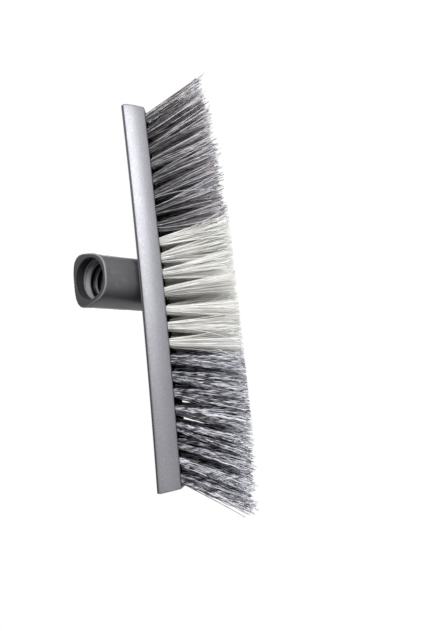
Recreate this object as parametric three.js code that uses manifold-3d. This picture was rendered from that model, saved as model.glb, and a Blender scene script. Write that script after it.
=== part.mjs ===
import * as THREE from "three";
import { mergeVertices } from "three/addons/utils/BufferGeometryUtils.js";
import Module from "manifold-3d";

// Scrub brush head: a silver band round a black block of splayed tufts, a dark back plate,
// and a leaning threaded socket for a handle. Millimetres, +Z up, bristles down, X along the head.
// While the pieces are made, z = 0 is the head's lower edge at mid length.

// Head
const HEAD_LENGTH = 215; // end to end along the back edge
const HEAD_WIDTH = 58;
const HEAD_CORNER = 0.9; // corner radius in plan
const ARCH_RISE = 1.1; // the ends stand this much above the middle
const ARCH_STEPS = 24;
const CORNER_STEPS = 3;

// Fits
const SEAT_GAP = 0.3; // between pieces that rest on or fit into one another
const CUT_MARGIN = 2; // cutting shapes reach this far past what they cut
const MERGE_DISTANCE = 1e-4; // points closer than this are one

// Silver band
const BAND_HEIGHT = 11.4;
const BAND_SIDE_WALL = 6.8; // at the back edge
const BAND_END_WALL = 2.7;
const BAND_DRAW_IN = 5.2; // the sides curve in this much at the lower edge
const BAND_DRAW_POWER = 1.7; // how late they curve: 1 is a straight slope
const BAND_END_TAPER = 1.2; // the lower edge ends this much short of the back edge
const BAND_WALL_STEPS = 6;
const BAND_ROUND = 1.2; // radius of the back edge
const BAND_ROUND_STEPS = 3;
const LIP_HEIGHT = 2; // inner lip that the plate clamps on the block
const LIP_REACH = 1.6;

// Back plate
const PLATE_THICKNESS = 0.6;
const PLATE_SIDE_INSET = 1; // from the head's sides
const PLATE_END_INSET = 0.2; // from the head's ends

// Handle socket
const SOCKET_X = 9.5; // where its axis meets the back plate
const SOCKET_Y = 0;
const SOCKET_LEAN = THREE.MathUtils.degToRad(51); // from the plate's normal towards -Y
const SOCKET_REACH = 41.9; // along the axis, from the plate to the mouth
const SOCKET_HALF_X = 14.1;
const SOCKET_HALF_Y = 13.7;
const SOCKET_SQUARENESS = 3; // 2 is an ellipse, more is squarer
const SOCKET_FLARE = 0.19; // the section is wider on its far side by this share
const SOCKET_CHAMFER = 0.9;
const SECTION_POINTS = 32;
const FOOT_LENGTH = 46; // along X
const FOOT_SIDE_GAP = 0.5; // from the foot to the band's lip
const FOOT_THICKNESS = 2.4;
const FOOT_CORNER = 3;

// Bore and thread of the socket
const LEAD_RADIUS = 11.4; // smooth lead-in at the mouth
const LEAD_DEPTH = 5.5;
const BORE_RADIUS = 10.9; // between the thread's crests
const BORE_DEPTH = 26;
const BORE_SIDES = 24;
const THREAD_CREST_RADIUS = 9.6;
const THREAD_PITCH = 5;
const THREAD_CREST = 1.9; // width of the flat crest
const THREAD_BASE = 3; // width at the bore's wall
const THREAD_TURNS = 2.9;
const THREAD_STEPS = 46;

// Plate screws, countersunk
const SCREW_HEAD_RADIUS = 3.7;
const SCREW_HEAD_HEIGHT = 2;
const SCREW_RADIUS = 1.75;
const SCREW_LENGTH = 9;
const SCREW_POINT = 1.6;
const SCREW_SUNK = 0.15; // rim of the head below the plate's face
const SCREW_RIM = 0.1; // straight rim of the head
const SCREW_SIDES = 16;
const RECESS_LENGTH = 4;
const RECESS_WIDTH = 0.9;
const RECESS_DEPTH = 1.1;
const SCREW_END_INSET = 15; // corner screws, from the head's end
const SCREW_SIDE_INSET = 13; // corner screws, from the head's side
const SCREW_MIDDLE_X = 54; // screws on the middle line

// Tufts
const TUFT_COLUMNS = 23;
const WHITE_COLUMNS = 7; // in the middle
const TUFT_ROWS = 5;
const TUFT_END_INSET = 3.1; // end tufts, from the end of the slice
const ROW_STAGGER = 0.25; // share of the pitch by which rows move outwards and inwards in turn
const ROW_SIDE_INSET = 3.4; // outer rows, from the side of the slice
const TUFT_LENGTH = 40; // free length
const FAN_ANGLE = THREE.MathUtils.degToRad(27); // lean of the end columns
const ROW_LEAN = THREE.MathUtils.degToRad(5); // lean of the outer rows
const STRANDS = 4; // in a tuft
const STRAND_SIDES = 3;
const STRAND_RADIUS = 0.7;
const TIP_RADIUS = 0.55;
const ROOT_SPREAD = 1.25; // strand from the tuft's axis
const TIP_SPREAD = 3.2;
const TUFT_TURN = THREE.MathUtils.degToRad(37); // of a tuft's strands, from one tuft to the next
const SLICE_THICKNESS = 2; // of the block, under the tufts of one colour
const ROOT_DEPTH = 1; // of a strand in its slice
const TIP_CUT = 0.5; // the lowest tips are cut flat by this much

// Heights that several pieces share
const BLOCK_LOW = SLICE_THICKNESS + SEAT_GAP;
const BLOCK_HIGH = BAND_HEIGHT;
const PLATE_LOW = BAND_HEIGHT + SEAT_GAP;
const PLATE_HIGH = PLATE_LOW + PLATE_THICKNESS;
const FOOT_LOW = BLOCK_HIGH - FOOT_THICKNESS;
const LIP_LOW = BAND_HEIGHT - LIP_HEIGHT;

// Plan sizes that several pieces share
const INNER_HALF_LENGTH = HEAD_LENGTH / 2 - BAND_END_WALL; // inside the band
const INNER_HALF_WIDTH = HEAD_WIDTH / 2 - BAND_SIDE_WALL;
const BLOCK_HALF_LENGTH = INNER_HALF_LENGTH - SEAT_GAP;
const BLOCK_HALF_WIDTH = INNER_HALF_WIDTH - SEAT_GAP;
const FOOT_HALF_WIDTH = INNER_HALF_WIDTH - LIP_REACH - FOOT_SIDE_GAP;
const TUFT_REACH = BLOCK_HALF_LENGTH - TUFT_END_INSET; // the end tufts, from the middle
const TUFT_PITCH = (2 * TUFT_REACH) / (TUFT_COLUMNS - 1 + 2 * ROW_STAGGER); // along the head
const ROW_PITCH = (2 * (BLOCK_HALF_WIDTH - ROW_SIDE_INSET)) / (TUFT_ROWS - 1); // across the head

const wasm = await Module();
wasm.setup();

const numbers = (first, count) => Array.from({ length: count }, (_, i) => first + i);

const archLift = (x) => ARCH_RISE * ((2 * x) / HEAD_LENGTH) ** 2;

// A closed geometry as a solid that can be joined and cut.
function solid(geometry) {
  const bare = geometry.clone();
  bare.deleteAttribute("normal");
  bare.deleteAttribute("uv");
  const merged = mergeVertices(bare, MERGE_DISTANCE);
  return new wasm.Manifold(
    new wasm.Mesh({
      numProp: 3,
      vertProperties: merged.attributes.position.array,
      triVerts: new Uint32Array(merged.index.array),
    }),
  );
}

// A solid's surface as a geometry.
function surface(body) {
  const { vertProperties, triVerts } = body.getMesh();
  const geometry = new THREE.BufferGeometry();
  geometry.setAttribute("position", new THREE.BufferAttribute(new Float32Array(vertProperties), 3));
  geometry.setIndex(new THREE.BufferAttribute(new Uint32Array(triVerts), 1));
  geometry.computeVertexNormals();
  return geometry;
}

const union = (bodies) => bodies.reduce((whole, body) => whole.add(body));

// Rings of equally many points, each joined to the next, and the last to the first if looped.
function loft(rings, looped) {
  const points = rings[0].length;
  const position = rings.flat().flatMap((p) => [p.x, p.y, p.z]);
  const index = [];
  const bands = looped ? rings.length : rings.length - 1;
  for (let r = 0; r < bands; r++) {
    const low = r * points;
    const high = ((r + 1) % rings.length) * points;
    for (let i = 0; i < points; i++) {
      const next = (i + 1) % points;
      index.push(low + i, low + next, high + next, low + i, high + next, high + i);
    }
  }
  if (!looped) {
    const last = (rings.length - 1) * points;
    for (let i = 1; i < points - 1; i++) {
      index.push(0, i + 1, i, last, last + i, last + i + 1);
    }
  }
  const geometry = new THREE.BufferGeometry();
  geometry.setAttribute("position", new THREE.Float32BufferAttribute(position, 3));
  geometry.setIndex(index);
  return geometry;
}

function roundedRectangle(halfLength, halfWidth, corner) {
  const x = halfLength - corner;
  const y = halfWidth - corner;
  const shape = new THREE.Shape();
  shape.absarc(x, -y, corner, -Math.PI / 2, 0);
  shape.absarc(x, y, corner, 0, Math.PI / 2);
  shape.absarc(-x, y, corner, Math.PI / 2, Math.PI);
  shape.absarc(-x, -y, corner, Math.PI, 1.5 * Math.PI);
  return shape;
}

// Upright prism on a rounded rectangle, centred at x on the head's middle line.
function prism(halfLength, halfWidth, corner, low, high, x = 0) {
  const shape = roundedRectangle(halfLength, halfWidth, corner);
  const options = { depth: high - low, bevelEnabled: false, curveSegments: CORNER_STEPS };
  return solid(new THREE.ExtrudeGeometry(shape, options).translate(x, 0, low));
}

// Slab as wide as the head, arched like it, with a facet between neighbouring stations.
function archSlab(low, high, stations) {
  const lower = stations.map((x) => new THREE.Vector2(x, low + archLift(x)));
  const upper = stations.map((x) => new THREE.Vector2(x, high + archLift(x))).reverse();
  const shape = new THREE.Shape([...lower, ...upper]);
  const depth = HEAD_WIDTH + 2 * CUT_MARGIN;
  const slab = new THREE.ExtrudeGeometry(shape, { depth, bevelEnabled: false });
  return solid(slab.rotateX(Math.PI / 2).translate(0, depth / 2, 0));
}

// Piece of the arch between two heights, on a rounded rectangle.
function archPiece(halfLength, halfWidth, low, high) {
  const step = HEAD_LENGTH / ARCH_STEPS;
  const stations = numbers(-1, ARCH_STEPS + 3).map((i) => i * step - HEAD_LENGTH / 2);
  const column = prism(halfLength, halfWidth, HEAD_CORNER, low - CUT_MARGIN, high + CUT_MARGIN);
  return archSlab(low, high, stations).intersect(column);
}

// Outline of the head in plan at one height, following the arch.
function headRing(halfLength, halfWidth, z) {
  const x = halfLength - HEAD_CORNER;
  const y = halfWidth - HEAD_CORNER;
  const ring = [];
  const add = (px, py) => ring.push(new THREE.Vector3(px, py, z + archLift(px)));
  for (const side of [1, -1]) {
    for (let i = 0; i <= ARCH_STEPS; i++) {
      add(side * x * ((2 * i) / ARCH_STEPS - 1), -side * halfWidth);
    }
    for (const quarter of [-0.5, 0]) {
      for (let i = quarter ? 1 : 0; i <= CORNER_STEPS; i++) {
        const angle = Math.PI * (quarter + (0.5 * i) / CORNER_STEPS);
        const cornerY = quarter ? -y : y;
        const px = x + HEAD_CORNER * Math.cos(angle);
        const py = cornerY + HEAD_CORNER * Math.sin(angle);
        if (quarter || i < CORNER_STEPS) add(side * px, side * py);
      }
    }
  }
  return ring;
}

// The band's outline at one height: the sides curve in and the ends slope in towards the bristles.
function bandRing(inset, z) {
  const drop = 1 - z / BAND_HEIGHT;
  const halfLength = HEAD_LENGTH / 2 - inset - BAND_END_TAPER * drop;
  return headRing(halfLength, HEAD_WIDTH / 2 - inset - BAND_DRAW_IN * drop ** BAND_DRAW_POWER, z);
}

// The band: its outer wall, a rounded back edge, and a lip inside that edge.
function bandGeometry() {
  const shoulder = BAND_HEIGHT - BAND_ROUND;
  const outer = numbers(0, BAND_WALL_STEPS).map((i) => bandRing(0, (shoulder * i) / BAND_WALL_STEPS));
  for (const i of numbers(0, BAND_ROUND_STEPS + 1)) {
    const angle = (0.5 * Math.PI * i) / BAND_ROUND_STEPS;
    const inset = BAND_ROUND * (1 - Math.cos(angle));
    outer.push(bandRing(inset, shoulder + BAND_ROUND * Math.sin(angle)));
  }
  const lip = (z) => headRing(INNER_HALF_LENGTH - LIP_REACH, INNER_HALF_WIDTH - LIP_REACH, z);
  const wall = (z) => headRing(INNER_HALF_LENGTH, INNER_HALF_WIDTH, z);
  return loft([...outer, lip(BAND_HEIGHT), lip(LIP_LOW), wall(LIP_LOW), wall(0)], true);
}

// Turns the socket's own frame, +Z out of its mouth, into the head's frame.
function leanSocket(geometry) {
  return geometry.rotateX(SOCKET_LEAN).translate(SOCKET_X, SOCKET_Y, PLATE_HIGH);
}

// Section of the socket: a rounded square, wider on its far side, grown by a margin.
function socketSection(margin) {
  const power = 2 / SOCKET_SQUARENESS;
  const points = [];
  for (let i = 0; i < SECTION_POINTS; i++) {
    const angle = (2 * Math.PI * i) / SECTION_POINTS;
    const cos = Math.cos(angle);
    const sin = Math.sin(angle);
    const across = Math.sign(sin) * Math.abs(sin) ** power;
    const along = Math.sign(cos) * Math.abs(cos) ** power;
    const halfX = SOCKET_HALF_X * (1 + SOCKET_FLARE * across) + margin;
    points.push(new THREE.Vector2(halfX * along, (SOCKET_HALF_Y + margin) * across));
  }
  return new THREE.Shape(points);
}

// Slanted prism on the socket's section, from well under the plate to the mouth.
function socketPrism(margin, chamfer) {
  const under = SOCKET_HALF_Y * Math.tan(SOCKET_LEAN) + FOOT_THICKNESS / Math.cos(SOCKET_LEAN);
  const depth = under + CUT_MARGIN + SOCKET_REACH;
  const options = {
    depth: depth - 2 * chamfer,
    bevelEnabled: chamfer > 0,
    bevelThickness: chamfer,
    bevelSize: chamfer,
    bevelOffset: -chamfer,
    bevelSegments: 1,
  };
  const bar = new THREE.ExtrudeGeometry(socketSection(margin), options);
  return solid(leanSocket(bar.translate(0, 0, SOCKET_REACH - depth + chamfer)));
}

// Turned shape on the socket's axis, from radius and distance from the mouth.
function socketTurning(profile) {
  const points = profile.map(([radius, depth]) => new THREE.Vector2(radius, SOCKET_REACH - depth));
  const turned = new THREE.LatheGeometry(points, BORE_SIDES);
  return solid(leanSocket(turned.rotateX(Math.PI / 2)));
}

function socketBore() {
  return socketTurning([
    [0, BORE_DEPTH],
    [BORE_RADIUS, BORE_DEPTH],
    [BORE_RADIUS, LEAD_DEPTH],
    [LEAD_RADIUS, LEAD_DEPTH],
    [LEAD_RADIUS, -CUT_MARGIN],
    [0, -CUT_MARGIN],
  ]);
}

// Helical ridge of the internal thread, its root sunk in the bore's wall.
function socketThread() {
  const root = BORE_RADIUS + SEAT_GAP;
  const run = THREAD_TURNS * THREAD_PITCH;
  const start = SOCKET_REACH - LEAD_DEPTH - THREAD_BASE / 2 - run;
  const rings = [];
  for (let i = 0; i <= THREAD_STEPS; i++) {
    const share = i / THREAD_STEPS;
    const angle = 2 * Math.PI * THREAD_TURNS * share;
    const z = start + run * share;
    const corner = (radius, offset) =>
      new THREE.Vector3(radius * Math.cos(angle), radius * Math.sin(angle), z + offset);
    rings.push([
      corner(root, -THREAD_BASE / 2),
      corner(root, THREAD_BASE / 2),
      corner(THREAD_CREST_RADIUS, THREAD_CREST / 2),
      corner(THREAD_CREST_RADIUS, -THREAD_CREST / 2),
    ]);
  }
  return solid(leanSocket(loft(rings, false)));
}

function footPrism(margin, low, high) {
  const halfLength = FOOT_LENGTH / 2 + margin;
  const halfWidth = FOOT_HALF_WIDTH + margin;
  return prism(halfLength, halfWidth, FOOT_CORNER + margin, low, high, SOCKET_X);
}

// The socket: its tube stays within the foot's outline as far up as the plate's underside.
function socketGeometry() {
  const reach = HEAD_LENGTH;
  const above = prism(reach, reach, HEAD_CORNER, PLATE_LOW, reach);
  const room = above.add(footPrism(0, FOOT_LOW, PLATE_LOW + CUT_MARGIN));
  const tube = socketPrism(0, SOCKET_CHAMFER).intersect(room);
  const body = tube.add(footPrism(0, FOOT_LOW, BLOCK_HIGH)).subtract(socketBore());
  return surface(body.add(socketThread()));
}

// Places of the screws, on the plate's face.
function screwPlaces() {
  const x = HEAD_LENGTH / 2 - SCREW_END_INSET;
  const y = HEAD_WIDTH / 2 - SCREW_SIDE_INSET;
  const corners = [-x, x].flatMap((px) => [-y, y].map((py) => [px, py]));
  return [...corners, [-SCREW_MIDDLE_X, 0], [SCREW_MIDDLE_X, 0]].map(
    ([px, py]) => new THREE.Vector3(px, py, PLATE_HIGH + archLift(px)),
  );
}

// Countersunk body on an upright axis, grown by a margin, with the plate's face at its place.
function screwTurning(margin, face, place) {
  const waist = -SCREW_SUNK - SCREW_HEAD_HEIGHT;
  const end = -SCREW_SUNK - SCREW_LENGTH;
  const profile = [
    [0, end - margin],
    [SCREW_RADIUS + margin, end + SCREW_POINT - margin],
    [SCREW_RADIUS + margin, waist],
    [SCREW_HEAD_RADIUS + margin, -SCREW_SUNK],
    [SCREW_HEAD_RADIUS + margin, face],
    [0, face],
  ];
  const points = profile.map(([radius, z]) => new THREE.Vector2(radius, z));
  const turned = new THREE.LatheGeometry(points, SCREW_SIDES).rotateX(Math.PI / 2);
  return solid(turned.translate(place.x, place.y, place.z));
}

function screwGeometry() {
  const body = screwTurning(0, SCREW_RIM - SCREW_SUNK, new THREE.Vector3());
  const recess = [0, Math.PI / 2].map((turn) => {
    const slot = new THREE.BoxGeometry(RECESS_LENGTH, RECESS_WIDTH, 2 * RECESS_DEPTH);
    return solid(slot.rotateZ(turn).translate(0, 0, -SCREW_SUNK));
  });
  return surface(body.subtract(union(recess)));
}

function cutScrewHoles(body) {
  const holes = screwPlaces().map((place) => screwTurning(SEAT_GAP, CUT_MARGIN, place));
  return body.subtract(union(holes));
}

function plateGeometry() {
  const halfLength = HEAD_LENGTH / 2 - PLATE_END_INSET;
  const halfWidth = HEAD_WIDTH / 2 - PLATE_SIDE_INSET;
  const plate = archPiece(halfLength, halfWidth, PLATE_LOW, PLATE_HIGH);
  return surface(cutScrewHoles(plate.subtract(socketPrism(SEAT_GAP, 0))));
}

// The block: it fits inside the band, stepped back under the band's lip, with a pocket for the foot.
function blockGeometry() {
  const lower = archPiece(BLOCK_HALF_LENGTH, BLOCK_HALF_WIDTH, BLOCK_LOW, LIP_LOW - SEAT_GAP);
  const length = BLOCK_HALF_LENGTH - LIP_REACH;
  const upper = archPiece(length, BLOCK_HALF_WIDTH - LIP_REACH, BLOCK_LOW, BLOCK_HIGH);
  const pocket = footPrism(SEAT_GAP, FOOT_LOW - SEAT_GAP, BLOCK_HIGH + CUT_MARGIN);
  return surface(cutScrewHoles(lower.add(upper).subtract(pocket)));
}

// Axis of a tuft: where it leaves the block and which way it leans.
function tuftAxis(column, row) {
  const fromMiddle = column - (TUFT_COLUMNS - 1) / 2;
  const fromCentre = row - (TUFT_ROWS - 1) / 2;
  const stagger = ROW_STAGGER * Math.sign(fromMiddle) * (row % 2 ? -1 : 1);
  const x = (fromMiddle + stagger) * TUFT_PITCH;
  const fan = (FAN_ANGLE * x) / TUFT_REACH;
  const lean = (ROW_LEAN * fromCentre) / ((TUFT_ROWS - 1) / 2);
  const root = new THREE.Vector3(x, fromCentre * ROW_PITCH, archLift(x));
  const direction = new THREE.Vector3(Math.tan(fan), Math.tan(lean), -1).normalize();
  return { root, direction };
}

// Ends of the strands of a tuft: they leave the root side by side and spread to the tip.
function strandEnds(column, row) {
  const { root, direction } = tuftAxis(column, row);
  const tip = root.clone().addScaledVector(direction, TUFT_LENGTH);
  return Array.from({ length: STRANDS }, (_, i) => {
    const angle = (2 * Math.PI * i) / STRANDS + TUFT_TURN * (column + 2 * row);
    const aside = new THREE.Vector3(Math.cos(angle), Math.sin(angle), 0);
    const from = root.clone().addScaledVector(aside, ROOT_SPREAD);
    return { from, to: tip.clone().addScaledVector(aside, TIP_SPREAD), angle };
  });
}

function strand({ from, to, angle }) {
  const direction = to.clone().sub(from).normalize();
  const start = from.clone().addScaledVector(direction, ROOT_DEPTH / direction.z);
  const length = start.distanceTo(to);
  const rod = new THREE.CylinderGeometry(TIP_RADIUS, STRAND_RADIUS, length, STRAND_SIDES);
  rod.rotateY(angle).translate(0, length / 2, 0);
  rod.applyQuaternion(new THREE.Quaternion().setFromUnitVectors(new THREE.Vector3(0, 1, 0), direction));
  return solid(rod.translate(start.x, start.y, start.z));
}

const lowestTip = Math.min(
  ...numbers(0, TUFT_COLUMNS).flatMap((column) =>
    numbers(0, TUFT_ROWS).flatMap((row) => strandEnds(column, row).map(({ to }) => to.z)),
  ),
);

// Tufts of neighbouring columns on their slice of the block, the lowest tips cut flat.
function tuftsGeometry(first, count) {
  const middle = (TUFT_COLUMNS - 1) / 2;
  const end = BLOCK_HALF_LENGTH;
  const seam = (column) => (column - 0.5 - middle) * TUFT_PITCH;
  const left = first === 0 ? -end : seam(first) + SEAT_GAP / 2;
  const right = first + count === TUFT_COLUMNS ? end : seam(first + count) - SEAT_GAP / 2;
  const tall = 2 * TUFT_LENGTH;
  const halfLength = (right - left) / 2;
  const column = prism(halfLength, BLOCK_HALF_WIDTH, HEAD_CORNER, -tall, tall, (left + right) / 2);
  const seams = numbers(-1, TUFT_COLUMNS + 3).map(seam);
  const slice = archSlab(0, SLICE_THICKNESS, seams).intersect(column);
  const strands = numbers(first, count).flatMap((c) =>
    numbers(0, TUFT_ROWS).flatMap((row) => strandEnds(c, row).map(strand)),
  );
  const floor = prism(HEAD_LENGTH, HEAD_LENGTH, HEAD_CORNER, lowestTip - tall, lowestTip + TIP_CUT);
  return surface(union([slice, ...strands]).subtract(floor));
}

const SOCKET_GREY = { color: 0x56565a, roughness: 0.5, metalness: 0 };
const PLATE_GREY = { color: 0x37373b, roughness: 0.5, metalness: 0 };
const SILVER_PAINT = { color: 0xc4c4cc, roughness: 0.35, metalness: 0.7 };
const BLOCK_BLACK = { color: 0x141416, roughness: 0.6, metalness: 0 };
const TUFT_GREY = { color: 0x8a8a90, roughness: 0.6, metalness: 0 };
const TUFT_WHITE = { color: 0xe6e4dc, roughness: 0.6, metalness: 0 };
const SCREW_STEEL = { color: 0x8f9296, roughness: 0.35, metalness: 1 };

const brush = new THREE.Group();

function addPiece(name, geometry, finish) {
  const mesh = new THREE.Mesh(geometry, new THREE.MeshStandardMaterial(finish));
  mesh.name = name;
  brush.add(mesh);
  return mesh;
}

addPiece("handle_socket", socketGeometry(), SOCKET_GREY);
addPiece("back_plate", plateGeometry(), PLATE_GREY);
addPiece("side_frame", bandGeometry(), SILVER_PAINT);
addPiece("bristle_block", blockGeometry(), BLOCK_BLACK);

const greyColumns = (TUFT_COLUMNS - WHITE_COLUMNS) / 2;
addPiece("bristles_grey_left", tuftsGeometry(0, greyColumns), TUFT_GREY);
addPiece("bristles_white", tuftsGeometry(greyColumns, WHITE_COLUMNS), TUFT_WHITE);
addPiece("bristles_grey_right", tuftsGeometry(greyColumns + WHITE_COLUMNS, greyColumns), TUFT_GREY);

screwPlaces().forEach((place, i) => {
  addPiece(`plate_screw_${i + 1}`, screwGeometry(), SCREW_STEEL).position.copy(place);
});

// The head stands on its lowest tips, with the middle of its outer box on the origin.
const box = new THREE.Box3().setFromObject(brush, true);
const middle = box.getCenter(new THREE.Vector3());
brush.position.set(-middle.x, -middle.y, -box.min.z);

export default brush;
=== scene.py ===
"""Studio picture of a scrub brush head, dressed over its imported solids.

Lengths are millimetres in the head's own frame: X along the head, Z up from the bristles to the back,
and the origin on the band's lower edge, under the middle of the back plate. Blender works in metres.
"""

import logging
import math
from collections.abc import Mapping, Sequence
from dataclasses import dataclass, field, replace
from enum import Enum

import bmesh
import bpy
import numpy as np
from mathutils import Euler, Matrix, Vector


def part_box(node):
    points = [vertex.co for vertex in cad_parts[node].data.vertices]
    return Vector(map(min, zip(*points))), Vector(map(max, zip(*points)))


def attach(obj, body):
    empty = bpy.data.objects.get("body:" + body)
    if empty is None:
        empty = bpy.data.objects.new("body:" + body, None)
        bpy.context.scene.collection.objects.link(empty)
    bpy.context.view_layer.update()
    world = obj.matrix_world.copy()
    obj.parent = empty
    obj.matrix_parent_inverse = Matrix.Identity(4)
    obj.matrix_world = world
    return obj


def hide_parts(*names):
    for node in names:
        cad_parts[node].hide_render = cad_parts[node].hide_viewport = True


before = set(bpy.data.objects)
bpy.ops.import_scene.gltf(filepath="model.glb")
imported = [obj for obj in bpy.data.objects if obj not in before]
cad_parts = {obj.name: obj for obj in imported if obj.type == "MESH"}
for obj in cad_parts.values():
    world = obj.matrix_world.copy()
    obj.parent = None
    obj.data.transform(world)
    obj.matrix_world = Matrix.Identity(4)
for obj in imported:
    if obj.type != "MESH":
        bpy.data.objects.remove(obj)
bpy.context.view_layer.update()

MM = 0.001
BODY = "root"
MIDDLE = 0.5
GOLDEN_ANGLE = math.pi * (3 - math.sqrt(5))
Colour = tuple[float, float, float]
Triple = tuple[float, float, float]
PURE_WHITE: Colour = (1.0, 1.0, 1.0)

log = logging.getLogger("scrub_brush")


class Wire:
    """One value of a shader. Arithmetic on it adds Math nodes to its tree."""

    def __init__(self, tree: bpy.types.NodeTree, socket: bpy.types.NodeSocket) -> None:
        """Wrap an output socket of a tree."""
        self.tree = tree
        self.socket = socket

    def _math(self, operation: str, left: "Wire | float", right: "Wire | float") -> "Wire":
        """Add a Math node.

        Args:
            operation: The node's operation.
            left: First term, a wire or a number.
            right: Second term, a wire or a number.

        Returns:
            The node's result.
        """
        node = self.tree.nodes.new("ShaderNodeMath")
        node.operation = operation
        for socket, term in zip(node.inputs, (left, right)):
            if isinstance(term, Wire):
                self.tree.links.new(term.socket, socket)
            else:
                socket.default_value = term
        return Wire(self.tree, node.outputs[0])

    def __add__(self, other: "Wire | float") -> "Wire":
        """Sum of two values."""
        return self._math("ADD", self, other)

    def __radd__(self, other: float) -> "Wire":
        """Sum of a number and this value."""
        return self._math("ADD", other, self)

    def __sub__(self, other: "Wire | float") -> "Wire":
        """Difference of two values."""
        return self._math("SUBTRACT", self, other)

    def __mul__(self, other: "Wire | float") -> "Wire":
        """Product of two values."""
        return self._math("MULTIPLY", self, other)

    def __rmul__(self, other: float) -> "Wire":
        """Product of a number and this value."""
        return self._math("MULTIPLY", other, self)

    def __gt__(self, other: "Wire | float") -> "Wire":
        """One where this value is the larger, and nought elsewhere."""
        return self._math("GREATER_THAN", self, other)

    def __lt__(self, other: "Wire | float") -> "Wire":
        """One where this value is the smaller, and nought elsewhere."""
        return self._math("LESS_THAN", self, other)


class Shader:
    """A node tree in the making, of a material or of the world."""

    def __init__(self, tree: bpy.types.NodeTree) -> None:
        """Start an empty tree."""
        self.tree = tree
        tree.nodes.clear()

    def node(
        self,
        kind: str,
        settings: Mapping[str, object] | None = None,
        inputs: Mapping[str | int, object] | None = None,
    ) -> dict[str, Wire]:
        """Add a node.

        Args:
            kind: The node's type, without its leading ShaderNode.
            settings: Its properties, set first; "stops" are a ramp's places and colours.
            inputs: Values or wires of its sockets, by name or by number.

        Returns:
            The node's outputs by name.
        """
        made = self.tree.nodes.new(f"ShaderNode{kind}")
        for name, value in (settings or {}).items():
            if name == "stops":
                self._set_stops(made.color_ramp, value)
            else:
                setattr(made, name, value)
        named = {s.name: s for s in made.inputs if s.enabled}
        for name, value in (inputs or {}).items():
            socket = made.inputs[name] if isinstance(name, int) else named[name]
            if isinstance(value, Wire):
                self.tree.links.new(value.socket, socket)
            elif socket.type == "RGBA":
                socket.default_value = (*value, 1.0)
            else:
                socket.default_value = value
        return {s.name: Wire(self.tree, s) for s in made.outputs if s.enabled}

    @staticmethod
    def _set_stops(ramp: bpy.types.ColorRamp, stops: Sequence[tuple[float, Colour]]) -> None:
        """Give a ramp its stops.

        Args:
            ramp: The ramp, which has two stops to begin with.
            stops: Places from 0 to 1 and their colours, in order.
        """
        while len(ramp.elements) < len(stops):
            ramp.elements.new(1.0)
        for element, (place, colour) in zip(ramp.elements, stops):
            element.position = place
            element.color = (*colour, 1.0)

    def place(self) -> Wire:
        """Where a point lies on the object, in metres."""
        return self.node("TexCoord")["Object"]

    def attribute(self, name: str) -> Wire:
        """A number that the mesh carries at its points."""
        return self.node("Attribute", {"attribute_name": name})["Fac"]

    def stretched(self, scale: Triple) -> Wire:
        """Where a point lies, with each axis scaled by itself."""
        return self.node("Mapping", inputs={"Vector": self.place(), "Scale": scale})["Vector"]

    def noise(self, grain: float, detail: float = 2.0, vector: Wire | None = None) -> Wire:
        """A cloudy pattern.

        Args:
            grain: Size of its clouds.
            detail: How many finer layers it has.
            vector: Where to read it, the point's own place if left out.

        Returns:
            Values round one half.
        """
        inputs = {"Vector": vector or self.place(), "Scale": 1 / (grain * MM), "Detail": detail}
        return self.node("TexNoise", inputs=inputs)["Fac"]

    def mix(
        self, factor: Wire | float, first: Wire | Colour, second: Wire | Colour, blend: str = "MIX"
    ) -> Wire:
        """Mix two colours.

        Args:
            factor: Share of the second colour.
            first: First colour.
            second: Second colour.
            blend: The Mix node's way of blending.

        Returns:
            The mixed colour.
        """
        settings = {"data_type": "RGBA", "blend_type": blend}
        return self.node("Mix", settings, {"Factor": factor, "A": first, "B": second})["Result"]

    def bump(self, height: Wire, depth: float) -> Wire:
        """A normal dented by a height, whose full range is that deep."""
        inputs = {"Height": height, "Distance": depth * MM, "Strength": 1.0}
        return self.node("Bump", inputs=inputs)["Normal"]

    def principled(self, **inputs: object) -> Wire:
        """A Principled surface. An underscore in an argument stands for a space in a socket's name."""
        named = {name.replace("_", " "): value for name, value in inputs.items()}
        return self.node("BsdfPrincipled", inputs=named)["BSDF"]


@dataclass(frozen=True)
class Finish:
    """What a surface is made of: a material, and the record's slot that it stands for."""

    name: str
    slot: str

    def surface(self, shader: Shader) -> Wire:
        """The surface's shader, which each finish makes its own way."""
        raise NotImplementedError

    def material(self) -> bpy.types.Material:
        """Make the material of this finish, once.

        Returns:
            The material.
        """
        label = f"{self.name}_finish"
        if label not in bpy.data.materials:
            made = bpy.data.materials.new(label)
            made.use_nodes = True
            shader = Shader(made.node_tree)
            shader.node("OutputMaterial", inputs={"Surface": self.surface(shader)})
        return bpy.data.materials[label]


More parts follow.
